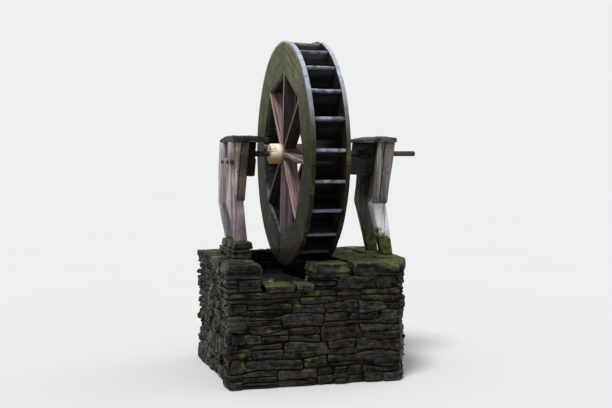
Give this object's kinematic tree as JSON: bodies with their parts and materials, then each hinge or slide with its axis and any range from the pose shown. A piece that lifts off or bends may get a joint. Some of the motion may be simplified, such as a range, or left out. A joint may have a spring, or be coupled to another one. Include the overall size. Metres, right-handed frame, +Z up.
{
  "type": "garden watermill with an overshot bucket wheel",
  "caption": "Overshot wooden bucket wheel on a steel axle between two timber supports, over a rubble masonry pit with a spillway.",
  "frame": {"origin": "on the ground under the middle of the wheel, at the masonry's underside", "axes": "+X along the axle towards its free end, +Y from the open spillway side to the back, +Z up"},
  "size_m": [1.07, 1.1, 1.6],
  "materials": {
    "axle_steel": "dull, lightly rusted",
    "hub_log": "fresh pale wood, weathered",
    "shroud_boards": "wet, mossy",
    "spoke_boards": "weathered",
    "wet_boards": "soaked, dark",
    "trestle_timber": "weathered grey",
    "cap_timber": "dark, weathered",
    "bearing_timber": "dark, wet",
    "rubble_masonry": "wet rubble with moss",
    "slab_stone": "rough, mossy"
  },
  "bodies": {
    "root": {"left_front_leg": "trestle_timber", "left_back_leg": "trestle_timber", "left_bearing_beam": "bearing_timber", "left_bearing_keep": "bearing_timber", "left_outer_board": "trestle_timber", "left_outer_facing": "trestle_timber", "left_inner_facing": "trestle_timber", "left_cap_board": "cap_timber", "right_front_leg": "trestle_timber", "right_back_leg": "trestle_timber", "right_bearing_beam": "bearing_timber", "right_bearing_keep": "bearing_timber", "right_outer_board": "trestle_timber", "right_outer_facing": "trestle_timber", "right_inner_facing": "trestle_timber", "right_cap_board": "cap_timber", "left_abutment": "rubble_masonry", "right_pier": "rubble_masonry", "front_pier": "rubble_masonry", "spill_wall": "rubble_masonry", "pit_floor": "rubble_masonry", "back_wall": "rubble_masonry", "front_coping": "slab_stone", "right_coping": "slab_stone", "left_pad": "slab_stone", "spill_lip": "slab_stone"},
    "wheel": {"axle": "axle_steel", "hub": "hub_log", "left_shroud": "shroud_boards", "right_shroud": "shroud_boards", "left_spokes": "spoke_boards", "right_spokes": "spoke_boards", "sole_boards": "wet_boards", "bucket_boards": "wet_boards"}
  },
  "joints": [
    {"name": "wheel_spin", "type": "hinge", "parent": "root", "child": "wheel", "pos_m": [0, 0, 1.05], "axis": [1, 0, 0], "continuous": true}
  ]
}
